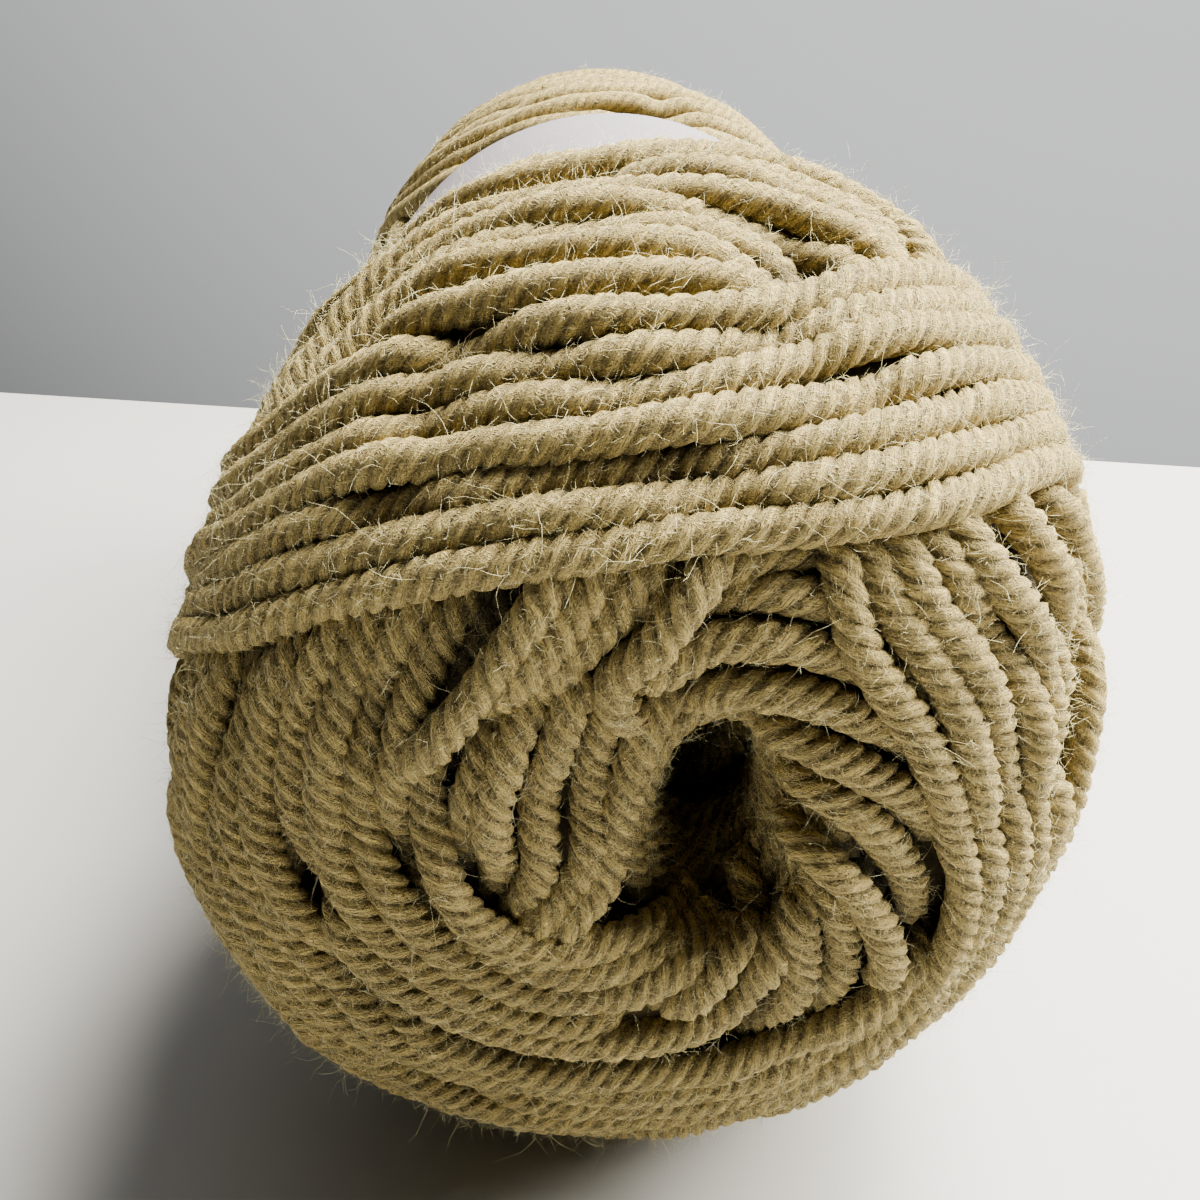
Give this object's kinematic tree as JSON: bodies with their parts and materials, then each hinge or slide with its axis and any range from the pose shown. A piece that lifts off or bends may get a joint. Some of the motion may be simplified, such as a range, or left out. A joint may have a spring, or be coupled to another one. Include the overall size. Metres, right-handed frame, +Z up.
{
  "type": "skein of yarn",
  "caption": "Centre-pull skein of soft plied yarn lying on its side, drawn in at the waist by a plain paper band, with a pull hole in one end.",
  "frame": {"origin": "middle of the skein's box, on the surface that it rests on", "axes": "+Y along the skein's axis from the end with the pull hole to the closed end, +X across, +Z up"},
  "size_m": [0.0942, 0.1846, 0.0985],
  "materials": {
    "yarn": "matt, softly hairy plied yarn, warm beige",
    "paper": "plain matt paper, pale lilac grey, unprinted"
  },
  "bodies": {
    "root": {"wound_yarn": "yarn", "paper_band": "paper"}
  },
  "joints": []
}
